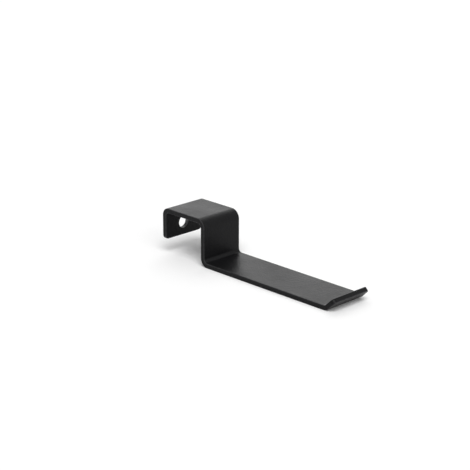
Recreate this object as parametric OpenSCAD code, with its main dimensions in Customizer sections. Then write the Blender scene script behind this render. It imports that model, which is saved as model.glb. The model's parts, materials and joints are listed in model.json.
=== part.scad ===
// Cable hook for a rack: one steel strip folded into a saddle for a rail, a flat arm and an upturned lip.
// Millimetres, +Z up. The origin is on the rail's top, midway between the legs and across the strip.

/* [Strip] */
// Width of the steel strip
strip_w = 25; // [16:0.5:50]
// Thickness of the strip
strip_t = 2.5; // [1.5:0.1:5]
// Radius that eases the strip's long edges and ends
edge_r = 0.4; // [0.1:0.05:0.6]
// Radius of the strip's four corners, seen flat
corner_r = 2; // [1:0.25:5]

/* [Saddle] */
// Clear gap between the legs, for the rail
rail_gap = 25.8; // [16:0.1:60]
// Length of the rear leg below the rail's top
rear_drop = 14.5; // [14:0.5:50]
// Drop from the rail's top to the arm's upper face
arm_drop = 20; // [12:0.5:80]
// Inside radius of the bend over the rail's rear edge
rear_bend_r = 1.5; // [1:0.25:4]
// Inside radius of the bend over the rail's front edge
front_bend_r = 2.5; // [1:0.25:4]

/* [Arm] */
// Reach of the arm, from the front leg's face to the tip of the lip
arm_reach = 88; // [30:1:250]
// Inside radius of the bend between the front leg and the arm
arm_bend_r = 2; // [1:0.25:4]

/* [Lip] */
// Angle that the lip turns up by
lip_angle = 45; // [15:1:90]
// Straight length of the lip past its bend
lip_len = 5.5; // [5.5:0.5:20]
// Inside radius of the bend between the arm and the lip
lip_bend_r = 2.3; // [1:0.1:8]

/* [Fixing hole] */
// Diameter of the screw hole through the rear leg
hole_d = 6.4; // [3:0.1:7]
// Drop from the rail's top to the hole's centre
hole_drop = 7.6; // [6:0.1:9]
// Radius that eases the hole's two rims
hole_rim_r = 0.3; // [0.1:0.05:0.6]

/* [Hidden] */
$fn = 96;

// Distance from the strip's middle plane to either face
half_t = strip_t / 2;

// Length that the lip and its bend cover along the arm, out to the lower corner of the tip
lip_cover = (lip_bend_r + strip_t) * sin(lip_angle) + lip_len * cos(lip_angle);

// Straight lengths of the strip between its bends, clear of the rounded corners at both ends
rear_run = rear_drop - rear_bend_r - corner_r;
top_run = rail_gap - rear_bend_r - front_bend_r;
front_run = arm_drop - front_bend_r - arm_bend_r;
arm_run = arm_reach - arm_bend_r - lip_cover;
lip_run = lip_len - corner_r;

// The strip from the rear leg's foot to the lip: each straight run with the bend that ends it, as
// [length, angle, inside radius]. A positive angle turns towards the strip's left-hand face.
folds = [
    [rear_run, -90, rear_bend_r],
    [top_run, -90, front_bend_r],
    [front_run, 90, arm_bend_r],
    [arm_run, lip_angle, lip_bend_r],
];

// Share by which the lip's flat is smaller than its bend, and how far it reaches back into the bend.
// The step is under a hundredth of a millimetre, and it keeps the two from grazing edge on edge.
lip_shrink = 0.0002;
lip_lap = 0.01;

// Half of the strip's outline, cut across an edge: thickness along Y, with the eased edge at X = reach
module eased_edge(reach) {
    translate([0, -half_t]) square([reach - edge_r, strip_t]);
    translate([0, edge_r - half_t]) square([reach, strip_t - 2 * edge_r]);
    for (side = [-1, 1]) translate([reach - edge_r, side * (half_t - edge_r)]) circle(edge_r);
}

// Cross-section of the strip: thickness along X, width along Y
module section() {
    for (side = [-1, 1]) rotate(side * 90) eased_edge(strip_w / 2);
}

// The parts of the strip run along +X, with its thickness along Y and its width along Z.

// A straight run
module run(length) {
    rotate([90, 0, 90]) linear_extrude(length) section();
}

// A bend that starts along +X and turns by angle, to the left if that is positive
module bend(angle, inside_r) {
    mid_r = inside_r + half_t;
    mirror([0, angle < 0 ? 1 : 0, 0])
        translate([0, mid_r, 0])
            rotate(-90) rotate_extrude(angle = abs(angle)) translate([mid_r, 0]) section();
}

// Moves its children to the end of such a bend
module after_bend(angle, inside_r) {
    centre_y = sign(angle) * (inside_r + half_t);
    translate([0, centre_y, 0]) rotate(angle) translate([0, -centre_y, 0]) children();
}

// The strip's last stretch, with both corners rounded
module tip() {
    inner_w = strip_w - 2 * corner_r;
    translate([0, 0, -inner_w / 2]) linear_extrude(inner_w) eased_edge(corner_r);
    for (side = [0, 1]) mirror([0, 0, side])
        translate([0, 0, inner_w / 2]) rotate([90, 0, 0]) rotate_extrude(angle = 90) eased_edge(corner_r);
}

// Lays the folds end to end, each from where the one before it stops, then its children
module fold_along(i = 0) {
    if (i < len(folds)) {
        length = folds[i][0];
        angle = folds[i][1];
        inside_r = folds[i][2];
        run(length);
        translate([length, 0, 0]) {
            bend(angle, inside_r);
            after_bend(angle, inside_r) fold_along(i + 1) children();
        }
    } else {
        children();
    }
}

// The lip past its bend
module lip() {
    scale(1 - lip_shrink) {
        translate([-lip_lap, 0, 0]) run(lip_run + lip_lap);
        translate([lip_run, 0, 0]) tip();
    }
}

// Cutter for the screw hole, along X through the strip's thickness, flared to ease both rims
module hole_cutter() {
    hole_r = hole_d / 2;
    rotate([0, 90, 0]) {
        cylinder(r = hole_r, h = 2 * strip_t, center = true);
        for (side = [0, 1]) mirror([0, 0, side]) translate([0, 0, half_t - hole_rim_r])
            rotate_extrude() difference() {
                square([hole_r + hole_rim_r, strip_t]);
                translate([hole_r + hole_rim_r, 0]) circle(hole_rim_r);
            }
    }
}

module cable_hook() {
    rear_x = -rail_gap / 2 - half_t;
    color("#1b1b1d") difference() {
        translate([rear_x, 0, corner_r - rear_drop]) rotate([90, -90, 0]) {
            mirror([1, 0, 0]) tip();
            fold_along() lip();
        }
        translate([rear_x, 0, -hole_drop]) hole_cutter();
    }
}

cable_hook();
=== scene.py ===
import json
from math import atan2, ceil, cos, pi, radians, sin, tan

import bmesh
import bpy
from mathutils import Matrix, Vector


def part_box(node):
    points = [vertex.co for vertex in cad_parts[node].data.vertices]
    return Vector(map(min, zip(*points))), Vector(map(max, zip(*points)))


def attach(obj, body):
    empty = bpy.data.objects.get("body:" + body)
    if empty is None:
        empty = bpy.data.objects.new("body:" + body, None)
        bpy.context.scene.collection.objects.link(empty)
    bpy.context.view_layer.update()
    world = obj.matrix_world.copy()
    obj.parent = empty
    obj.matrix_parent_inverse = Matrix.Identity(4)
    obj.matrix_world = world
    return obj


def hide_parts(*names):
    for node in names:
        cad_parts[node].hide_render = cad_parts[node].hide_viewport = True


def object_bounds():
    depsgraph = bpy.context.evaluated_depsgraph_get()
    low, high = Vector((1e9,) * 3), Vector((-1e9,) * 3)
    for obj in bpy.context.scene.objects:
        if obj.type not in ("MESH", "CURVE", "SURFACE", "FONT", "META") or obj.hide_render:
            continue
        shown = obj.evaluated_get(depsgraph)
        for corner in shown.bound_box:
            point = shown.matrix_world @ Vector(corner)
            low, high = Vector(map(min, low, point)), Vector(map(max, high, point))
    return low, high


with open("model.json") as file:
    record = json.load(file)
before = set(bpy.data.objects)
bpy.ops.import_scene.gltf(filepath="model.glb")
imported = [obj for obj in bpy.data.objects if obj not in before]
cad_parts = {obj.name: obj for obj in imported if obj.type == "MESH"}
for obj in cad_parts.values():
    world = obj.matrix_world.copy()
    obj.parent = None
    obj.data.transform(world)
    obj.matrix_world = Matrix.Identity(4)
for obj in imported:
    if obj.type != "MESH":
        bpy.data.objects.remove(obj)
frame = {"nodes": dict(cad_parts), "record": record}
cadLow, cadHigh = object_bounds()

mm = 0.001
samePlace = 1e-9  # places on the blank nearer than this are one
mounts = {m["name"]: m for m in frame["record"]["mounts"]}
hookLow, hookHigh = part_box("cable_hook")
hookNode = frame["nodes"]["cable_hook"]
print("frame loaded, cable_hook is", [round(v / mm, 2) for v in hookHigh - hookLow], "mm")


# Node tree helpers

def addNode(tree, kind, **settings):
    node = tree.nodes.new(kind)
    for name, value in settings.items():
        setattr(node, name, value)
    return node


def feed(tree, socket, value):
    # a socket is linked, anything else is set on the socket itself
    if isinstance(value, bpy.types.NodeSocket):
        tree.links.new(value, socket)
    else:
        socket.default_value = value


def calc(tree, operation, *values):
    node = addNode(tree, "ShaderNodeMath", operation=operation)
    for socket, value in zip(node.inputs, values):
        feed(tree, socket, value)
    return node.outputs[0]


def treeInput(tree, name, kind):
    return tree.interface.new_socket(name=name, in_out="INPUT", socket_type="NodeSocket" + kind)


def treeOutput(tree, name, kind):
    tree.interface.new_socket(name=name, in_out="OUTPUT", socket_type="NodeSocket" + kind)


# Powder coat: black, satin, with the fine pebble that a textured powder bakes to

coat = {
    "colour": (0.0045, 0.0045, 0.005, 1),
    "arrisColour": (0.04, 0.04, 0.042, 1),  # lighter on the edges: the powder draws thin over an edge, and the rest is a painted highlight
    "boreColour": (0.16, 0.16, 0.165, 1),  # lighter again in the hole: the powder hardly reaches inside, and the rest is a painted reflection on the bore wall
    "roughness": 0.38,
    "roughnessDrift": 0.04,
    "specular": 0.11,
    # tone is the darkest and lightest, as shares of the colour
    "drift": {"size": 14 * mm, "detail": 3, "rough": 0.5, "tone": (0.88, 1.1)},
    "pebble": {"size": 0.7 * mm, "detail": 2, "rough": 0.55, "tone": (0.85, 1.15), "height": 0.11 * mm},
    "ripple": {"size": 1.8 * mm, "detail": 1, "rough": 0.5, "height": 0.055 * mm},
    "arrisCover": (0.35, 1),  # how fully the lighter edge colour, thin powder with a painted highlight, shows along an edge
    "noiseRange": (0.3, 0.7),  # the noise seldom leaves this
}


def makePowderCoat():
    material = bpy.data.materials.new("powderCoat")
    material.use_nodes = True
    tree = material.node_tree
    shader = tree.nodes["Principled BSDF"]
    place = addNode(tree, "ShaderNodeTexCoord").outputs["Object"]

    def noise(layer):
        node = addNode(tree, "ShaderNodeTexNoise")
        feed(tree, node.inputs["Vector"], place)
        feed(tree, node.inputs["Scale"], 1 / layer["size"])
        feed(tree, node.inputs["Detail"], layer["detail"])
        feed(tree, node.inputs["Roughness"], layer["rough"])
        return node.outputs["Fac"]

    def spread(value, low, high):
        # a noise's usual range, stretched to run from low to high
        noiseLow, noiseHigh = coat["noiseRange"]
        node = addNode(tree, "ShaderNodeMapRange")
        for name, number in (("Value", value), ("From Min", noiseLow), ("From Max", noiseHigh),
                             ("To Min", low), ("To Max", high)):
            feed(tree, node.inputs[name], number)
        return node.outputs["Result"]

    drift, pebble, ripple = (noise(coat[layer]) for layer in ("drift", "pebble", "ripple"))

    # colour: a slow drift and the pebble's tips, then the lighter edges and hole, which are thin powder
    # with a painted highlight and a painted reflection
    tone = addNode(tree, "ShaderNodeMix", data_type="RGBA", blend_type="MULTIPLY")
    tone.inputs["Factor"].default_value = 1
    feed(tree, tone.inputs["A"], coat["colour"])
    shade = addNode(tree, "ShaderNodeCombineColor")
    speckle = calc(tree, "MULTIPLY", spread(drift, *coat["drift"]["tone"]),
                   spread(pebble, *coat["pebble"]["tone"]))
    for channel in shade.inputs[:3]:
        feed(tree, channel, speckle)
    feed(tree, tone.inputs["B"], shade.outputs[0])
    # up to 1 arris brings in the edge colour, thin powder with a painted highlight, and from there to 2
    # the bore colour, bare steel with a painted reflection
    arris = addNode(tree, "ShaderNodeAttribute", attribute_name="arris").outputs["Fac"]
    # mask for the lighter edge colour: thin powder and a painted highlight along the eased edges
    thinCoatAndHighlightMask = calc(tree, "MULTIPLY", calc(tree, "MINIMUM", arris, 1), spread(ripple, *coat["arrisCover"]))
    # the bore colour: bare steel and a painted reflection on the hole's wall
    bareAndReflectedBore = addNode(tree, "ShaderNodeMix", data_type="RGBA")
    feed(tree, bareAndReflectedBore.inputs["Factor"], calc(tree, "MAXIMUM", calc(tree, "SUBTRACT", arris, 1), 0))
    feed(tree, bareAndReflectedBore.inputs["A"], coat["arrisColour"])
    feed(tree, bareAndReflectedBore.inputs["B"], coat["boreColour"])
    # mixes in the lighter edge and bore colours, which are painted highlight and painted reflection as
    # well as thin powder
    thinCoatAndHighlightMix = addNode(tree, "ShaderNodeMix", data_type="RGBA")
    feed(tree, thinCoatAndHighlightMix.inputs["Factor"], thinCoatAndHighlightMask)
    feed(tree, thinCoatAndHighlightMix.inputs["A"], tone.outputs["Result"])
    feed(tree, thinCoatAndHighlightMix.inputs["B"], bareAndReflectedBore.outputs["Result"])
    feed(tree, shader.inputs["Base Color"], thinCoatAndHighlightMix.outputs["Result"])

    low, high = (coat["roughness"] + side * coat["roughnessDrift"] for side in (-1, 1))
    feed(tree, shader.inputs["Roughness"], spread(drift, low, high))
    feed(tree, shader.inputs["Specular IOR Level"], coat["specular"])

    # relief: the ripple under the pebble
    bump = addNode(tree, "ShaderNodeBump")
    feed(tree, bump.inputs["Distance"], coat["ripple"]["height"])
    feed(tree, bump.inputs["Height"], ripple)
    grain = addNode(tree, "ShaderNodeBump")
    feed(tree, grain.inputs["Distance"], coat["pebble"]["height"])
    feed(tree, grain.inputs["Height"], pebble)
    feed(tree, grain.inputs["Normal"], bump.outputs["Normal"])
    feed(tree, shader.inputs["Normal"], grain.outputs["Normal"])
    return material


powderCoat = makePowderCoat()
print("powder coat ready")


# The hook: a flat blank with eased edges, rounded corners and a screw hole, folded four times.
# The blank lies along +X from the rear leg's foot, across Y, with its neutral plane at Z = 0.

hook = {
    "edgeRadius": 0.4 * mm,
    "cornerRadius": 2 * mm,
    "holeRimRadius": 0.3 * mm,
    "lipLength": 5.5 * mm,
    "rearBend": {"angle": radians(-90), "insideRadius": 1.5 * mm},
    "frontBend": {"angle": radians(-90), "insideRadius": 2.5 * mm},
    "armBend": {"angle": radians(90), "insideRadius": 2 * mm},
    "lipBend": {"angle": radians(45), "insideRadius": 2.3 * mm},
    "bendStep": radians(5),
    "cornerSteps": 10,
    "edgeSteps": 5,
    "rimSteps": 4,
    "holeSteps": 26,
    "holeMargin": 1 * mm,  # flat kept between the hole's rim and the next line across the strip
}

railTop = mounts["rail_seat"]["pos_m"][2]
armTop = mounts["arm_bed"]["pos_m"][2]
holeHeight = mounts["fixing_hole"]["pos_m"][2]
holeRadius = mounts["fixing_hole"]["dims"]["r_mm"] * mm
stripT = hookHigh.z - railTop
stripW = hookHigh.y - hookLow.y
halfT, halfW = stripT / 2, stripW / 2
legFront = -hookLow.x  # the saddle is symmetric about the origin
rearFoot = min(v.co.z for v in hookNode.data.vertices if v.co.x < hookLow.x + stripT)

# the bends in their order along the blank, by the names of the node tree's inputs
bends = {"Rear Bend": hook["rearBend"], "Front Bend": hook["frontBend"],
         "Arm Bend": hook["armBend"], "Lip Bend": hook["lipBend"]}


def bendRun(bend):
    # its length on the neutral plane
    return abs(bend["angle"]) * (bend["insideRadius"] + halfT)


def planFolds():
    # straight lengths between the bends, then where each bend starts on the flat blank
    rear, front, arm, lip = bends.values()
    lipTurn, edge = lip["angle"], hook["edgeRadius"]
    tipCorner = hookHigh.x + edge * (sin(lipTurn) + cos(lipTurn) - 1)
    lipCover = (lip["insideRadius"] + stripT) * sin(lipTurn) + hook["lipLength"] * cos(lipTurn)
    rearRun = railTop - rearFoot - rear["insideRadius"]
    topRun = 2 * (legFront - stripT) - rear["insideRadius"] - front["insideRadius"]
    frontRun = railTop - armTop - front["insideRadius"] - arm["insideRadius"]
    armRun = tipCorner - legFront - arm["insideRadius"] - lipCover
    at = 0
    for bend, run in ((rear, rearRun), (front, topRun), (arm, frontRun), (lip, armRun)):
        bend["start"] = at + run
        at = bend["start"] + bendRun(bend)
    return at + hook["lipLength"]


blankL = planFolds()
holeAt = holeHeight - rearFoot
print("blank is", round(blankL / mm, 2), "mm long")


def easeProfile(radius, steps):
    # inset from the edge, height over the neutral plane and arris, which is 1 on the crest of
    # the easing, from the upper face down to the lower
    upper = [(radius * (1 - sin(turn)), halfT - radius * (1 - cos(turn)), sin(2 * turn))
             for turn in (k / steps * pi / 2 for k in range(steps + 1))]
    return upper + [(inset, -height, arris) for inset, height, arris in reversed(upper)]


def edgeStations():
    # (distance along the blank, distance from its middle, outward direction) down one long side
    corner, cornerSteps = hook["cornerRadius"], hook["cornerSteps"]
    turns = [k / cornerSteps * pi / 2 for k in range(cornerSteps + 1)]
    nearEnd = [(corner - corner * cos(t), halfW - corner + corner * sin(t), (-cos(t), sin(t)))
               for t in turns]
    lines = [rim["near"], *rim["between"], rim["far"]]
    for bend in bends.values():
        steps = ceil(abs(bend["angle"]) / hook["bendStep"])
        lines += [bend["start"] + bendRun(bend) * k / steps for k in range(steps + 1)]
    sides = [(s, halfW, (0, 1)) for s in lines]
    farEnd = [(blankL - s, w, (-out[0], out[1])) for s, w, out in reversed(nearEnd)]
    return nearEnd + sides + farEnd


def planHole():
    # the square of flat round the hole, with rays from the hole's centre at nearly even angles
    reach = holeRadius + hook["holeRimRadius"] + hook["holeMargin"]
    flatW = halfW - hook["edgeRadius"]
    cornerAngle = atan2(flatW, reach)
    across = [cornerAngle * (2 * k / hook["holeSteps"] - 1) for k in range(hook["holeSteps"] + 1)]
    sideAngle = pi - 2 * cornerAngle
    sideSteps = 2 * round(sideAngle / (across[1] - across[0]) / 2)
    along = [cornerAngle + sideAngle * k / sideSteps for k in range(1, sideSteps)]
    return {"near": holeAt - reach, "far": holeAt + reach, "reach": reach, "flatW": flatW,
            "across": across, "along": along,
            "between": [holeAt + flatW / tan(a) for a in reversed(along)]}


rim = planHole()


def makeBlank():
    mesh = bmesh.new()
    arrisLayer = mesh.verts.layers.float.new("arris")

    def point(along, across, height, arris=0):
        vert = mesh.verts.new((along, across, height))
        vert[arrisLayer] = arris
        return vert

    # the edge all round, as one ring of points for each step of its eased profile
    oneSide = edgeStations()
    outline = oneSide + [(s, -w, (out[0], -out[1])) for s, w, out in reversed(oneSide)]
    profile = easeProfile(hook["edgeRadius"], hook["edgeSteps"])
    rings = [[point(s - inset * out[0], w - inset * out[1], height, arris) for s, w, out in outline]
             for inset, height, arris in profile]
    count = len(outline)
    for upper, lower in zip(rings, rings[1:]):
        for k in range(count):
            n = (k + 1) % count
            mesh.faces.new((upper[k], upper[n], lower[n], lower[k]))

    # the hole's wall, where arris rises to 2 because the powder is thin all the way through and a
    # painted reflection lightens the bore
    halfRound = rim["across"] + rim["along"]
    around = halfRound + [pi + a for a in halfRound]
    rimRadius = hook["holeRimRadius"]
    holeRings = []
    for inset, height, _ in easeProfile(rimRadius, hook["rimSteps"]):
        radius, arris = holeRadius + inset, 2 * (1 - inset / rimRadius)
        holeRings.append([point(holeAt + radius * cos(a), radius * sin(a), height, arris)
                          for a in around])
    for upper, lower in zip(holeRings, holeRings[1:]):
        for k in range(len(around)):
            n = (k + 1) % len(around)
            mesh.faces.new((upper[n], upper[k], lower[k], lower[n]))

    # both flat faces: a strip of faces across, and rays round the hole
    nearLine = next(k for k, (s, _, _) in enumerate(oneSide) if abs(s - rim["near"]) < samePlace)
    farLine = nearLine + len(rim["between"]) + 1
    for edge, hole, height in ((rings[0], holeRings[0], halfT), (rings[-1], holeRings[-1], -halfT)):
        left = edge[:len(oneSide)]
        right = edge[:len(oneSide) - 1:-1]
        inner = rim["across"][1:-1]
        farCross = [point(rim["far"], rim["reach"] * tan(a), height) for a in inner]
        nearCross = [point(rim["near"], -rim["reach"] * tan(a), height) for a in inner]
        # the square's edge, in the same order as the hole's points
        square = ([right[farLine], *farCross, left[farLine]] + left[farLine - 1:nearLine:-1]
                  + [left[nearLine], *nearCross, right[nearLine]] + right[nearLine + 1:farLine])
        for k in range(len(around)):
            n = (k + 1) % len(around)
            mesh.faces.new((square[k], square[n], hole[n], hole[k]))
        for k in range(len(oneSide) - 1):
            if nearLine <= k < farLine:
                continue
            corners = [left[k], right[k], right[k + 1], left[k + 1]]
            if k + 1 == nearLine:
                corners[3:3] = reversed(nearCross)
            if k == farLine:
                corners[1:1] = reversed(farCross)
            mesh.faces.new(corners)
    bmesh.ops.recalc_face_normals(mesh, faces=mesh.faces)
    blank = bpy.data.meshes.new("foldedStrip")
    mesh.to_mesh(blank)
    mesh.free()
    return blank


def makeFoldGroup():
    # turns everything past a line across the blank, round an arc of the given inside radius
    tree = bpy.data.node_groups.new("foldAcrossStrip", "GeometryNodeTree")
    treeInput(tree, "Geometry", "Geometry")
    for name in ("Start", "Angle", "Inside Radius", "Thickness"):
        treeInput(tree, name, "Float")
    treeOutput(tree, "Geometry", "Geometry")
    given = addNode(tree, "NodeGroupInput").outputs
    place = addNode(tree, "ShaderNodeSeparateXYZ")
    feed(tree, place.inputs[0], addNode(tree, "GeometryNodeInputPosition").outputs[0])
    x, y, z = place.outputs

    side = calc(tree, "SIGN", given["Angle"])
    neutral = calc(tree, "MULTIPLY_ADD", given["Thickness"], 0.5, given["Inside Radius"])
    bendLength = calc(tree, "MULTIPLY", neutral, calc(tree, "ABSOLUTE", given["Angle"]))
    past = calc(tree, "SUBTRACT", x, given["Start"])
    inBend = calc(tree, "MINIMUM", calc(tree, "MAXIMUM", past, 0), bendLength)
    beyond = calc(tree, "SUBTRACT", past, inBend)
    turned = calc(tree, "DIVIDE", inBend, neutral)
    fromCentre = calc(tree, "SUBTRACT", neutral, calc(tree, "MULTIPLY", side, z))
    sine, cosine = calc(tree, "SINE", turned), calc(tree, "COSINE", turned)
    reach = calc(tree, "ADD", calc(tree, "MULTIPLY", sine, fromCentre),
                 calc(tree, "MULTIPLY", cosine, beyond))
    foldedX = calc(tree, "ADD", given["Start"], reach)
    rise = calc(tree, "SUBTRACT", calc(tree, "MULTIPLY_ADD", sine, beyond, neutral),
                calc(tree, "MULTIPLY", cosine, fromCentre))
    folded = addNode(tree, "ShaderNodeCombineXYZ")
    for socket, value in zip(folded.inputs, (foldedX, y, calc(tree, "MULTIPLY", side, rise))):
        feed(tree, socket, value)
    move = addNode(tree, "GeometryNodeSetPosition")
    feed(tree, move.inputs["Geometry"], given["Geometry"])
    feed(tree, move.inputs["Position"], folded.outputs[0])
    feed(tree, addNode(tree, "NodeGroupOutput").inputs[0], move.outputs[0])
    return tree


def makeStripTree():
    # folds the blank from its far end back, so that each line is still flat when its turn comes
    tree = bpy.data.node_groups.new("foldedStrip", "GeometryNodeTree")
    treeInput(tree, "Geometry", "Geometry")
    sockets = {"Thickness": treeInput(tree, "Thickness", "Float")}
    for bend in bends:
        for size in ("Start", "Angle", "Inside Radius"):
            sockets[bend + " " + size] = treeInput(tree, bend + " " + size, "Float")
    sockets["Foot"] = treeInput(tree, "Foot", "Vector")
    sockets["Finish"] = treeInput(tree, "Finish", "Material")
    treeOutput(tree, "Geometry", "Geometry")
    given = addNode(tree, "NodeGroupInput").outputs
    foldGroup = makeFoldGroup()
    shape = given["Geometry"]
    for bend in reversed(bends):
        fold = addNode(tree, "GeometryNodeGroup", node_tree=foldGroup)
        feed(tree, fold.inputs["Geometry"], shape)
        feed(tree, fold.inputs["Thickness"], given["Thickness"])
        for size in ("Start", "Angle", "Inside Radius"):
            feed(tree, fold.inputs[size], given[bend + " " + size])
        shape = fold.outputs[0]
    # the blank's X becomes up, which stands the rear leg on its foot
    stand = addNode(tree, "GeometryNodeTransform")
    feed(tree, stand.inputs["Geometry"], shape)
    feed(tree, stand.inputs["Rotation"], (0, -pi / 2, 0))
    feed(tree, stand.inputs["Translation"], given["Foot"])
    smooth = addNode(tree, "GeometryNodeSetShadeSmooth")
    feed(tree, smooth.inputs["Geometry"], stand.outputs[0])
    real = addNode(tree, "GeometryNodeRealizeInstances")
    feed(tree, real.inputs[0], smooth.outputs[0])
    finish = addNode(tree, "GeometryNodeSetMaterial")
    feed(tree, finish.inputs["Geometry"], real.outputs[0])
    feed(tree, finish.inputs["Material"], given["Finish"])
    feed(tree, addNode(tree, "NodeGroupOutput").inputs[0], finish.outputs[0])
    return tree, sockets


def makeHook():
    piece = bpy.data.objects.new("folded_strip", makeBlank())
    bpy.context.scene.collection.objects.link(piece)
    tree, sockets = makeStripTree()
    folds = piece.modifiers.new("folds", "NODES")
    folds.node_group = tree
    values = {"Thickness": stripT, "Foot": (hookLow.x + halfT, 0, rearFoot), "Finish": powderCoat}
    for name, bend in bends.items():
        values[name + " Start"] = bend["start"]
        values[name + " Angle"] = bend["angle"]
        values[name + " Inside Radius"] = bend["insideRadius"]
    for name, value in values.items():
        folds[sockets[name].identifier] = value
    evaluated = piece.evaluated_get(bpy.context.evaluated_depsgraph_get())
    solid = bpy.data.meshes.new_from_object(evaluated)
    piece.modifiers.remove(folds)
    piece.data = solid
    # long flats stay flat in the shading, and the eased edges carry the turn
    flats = piece.modifiers.new("flats", "WEIGHTED_NORMAL")
    flats.weight = 100  # the most: the largest faces decide
    flats.keep_sharp = True
    return piece


foldedStrip = makeHook()
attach(foldedStrip, "root")
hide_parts("cable_hook")
print("strip folded,", len(foldedStrip.data.polygons), "faces")


# Studio: white floor, a soft key lamp above the camera, a low one in front and one behind

studio = {
    "floorSize": 6,  # metres
    "floorColour": (0.96, 0.96, 0.96, 1),
    "ambient": 0.33,
    "lamps": {  # angles in degrees
        "key": {"azimuth": 47, "elevation": 58, "spread": 34, "power": 1.85},
        "front": {"azimuth": 72, "elevation": 22, "spread": 50, "power": 0.95},
        "behind": {"azimuth": 225, "elevation": 32, "spread": 60, "power": 0.85},
    },
}


def makeFloor():
    bpy.ops.mesh.primitive_plane_add(size=studio["floorSize"], location=(0, 0, 0))
    floor = bpy.context.object
    floor.name = "floor"
    floor.data.transform(Matrix.Translation((0, 0, cadLow.z)))
    paper = bpy.data.materials.new("whitePaper")
    paper.use_nodes = True
    shader = paper.node_tree.nodes["Principled BSDF"]
    shader.inputs["Base Color"].default_value = studio["floorColour"]
    shader.inputs["Roughness"].default_value = 1
    shader.inputs["Specular IOR Level"].default_value = 0
    floor.data.materials.append(paper)


def makeWorld():
    world = bpy.data.worlds.new("studio")
    bpy.context.scene.world = world
    world.use_nodes = True
    tree = world.node_tree
    tree.nodes.clear()
    path = addNode(tree, "ShaderNodeLightPath").outputs
    seen = calc(tree, "MAXIMUM", calc(tree, "MAXIMUM", path["Is Camera Ray"], path["Is Glossy Ray"]),
                path["Is Transmission Ray"])
    fill = addNode(tree, "ShaderNodeBackground")
    fill.inputs["Strength"].default_value = studio["ambient"]
    fill.inputs["Color"].default_value = (1, 1, 1, 1)
    white = addNode(tree, "ShaderNodeBackground")
    white.inputs["Color"].default_value = (1, 1, 1, 1)
    both = addNode(tree, "ShaderNodeMixShader")
    feed(tree, both.inputs[0], seen)
    feed(tree, both.inputs[1], fill.outputs[0])
    feed(tree, both.inputs[2], white.outputs[0])
    feed(tree, addNode(tree, "ShaderNodeOutputWorld").inputs[0], both.outputs[0])


def towards(azimuth, elevation):
    # from the object to a viewer at that azimuth and elevation
    a, e = radians(azimuth), radians(elevation)
    return Vector((sin(a) * cos(e), -cos(a) * cos(e), sin(e)))


def makeLamps():
    for name, lamp in studio["lamps"].items():
        data = bpy.data.lights.new(name, "SUN")
        data.energy = lamp["power"]
        data.angle = radians(lamp["spread"])
        light = bpy.data.objects.new(name, data)
        light.rotation_mode = "QUATERNION"
        light.rotation_quaternion = towards(lamp["azimuth"], lamp["elevation"]).to_track_quat("Z", "Y")
        bpy.context.scene.collection.objects.link(light)


view = {  # angles in degrees
    "azimuth": 45.397,
    "elevation": 18.797,
    "roll": 0.147,
    "distance": 731.6 * mm,
    "lens": 113.43,
    "aimRight": -13.35 * mm,  # from the object's middle, across and up the view
    "aimUp": 8.36 * mm,
    "clip": (0.01, 20),  # metres
}


def makeCamera():
    back = towards(view["azimuth"], view["elevation"])
    right = Vector((0, 0, 1)).cross(back).normalized()
    up = back.cross(right)
    aim = (cadLow + cadHigh) / 2 + right * view["aimRight"] + up * view["aimUp"]
    turn = Matrix((right, up, back)).transposed() @ Matrix.Rotation(radians(view["roll"]), 3, "Z")
    data = bpy.data.cameras.new("camera")
    data.lens = view["lens"]
    data.clip_start, data.clip_end = view["clip"]
    camera = bpy.data.objects.new("camera", data)
    camera.matrix_world = Matrix.Translation(aim + back * view["distance"]) @ turn.to_4x4()
    bpy.context.scene.collection.objects.link(camera)
    bpy.context.scene.camera = camera


makeFloor()
makeWorld()
makeLamps()
makeCamera()
bpy.context.scene.view_settings.view_transform = "Standard"
print("studio and camera set")

print("CAD size", [round(v / mm, 2) for v in (*cadLow, *cadHigh)], "mm")
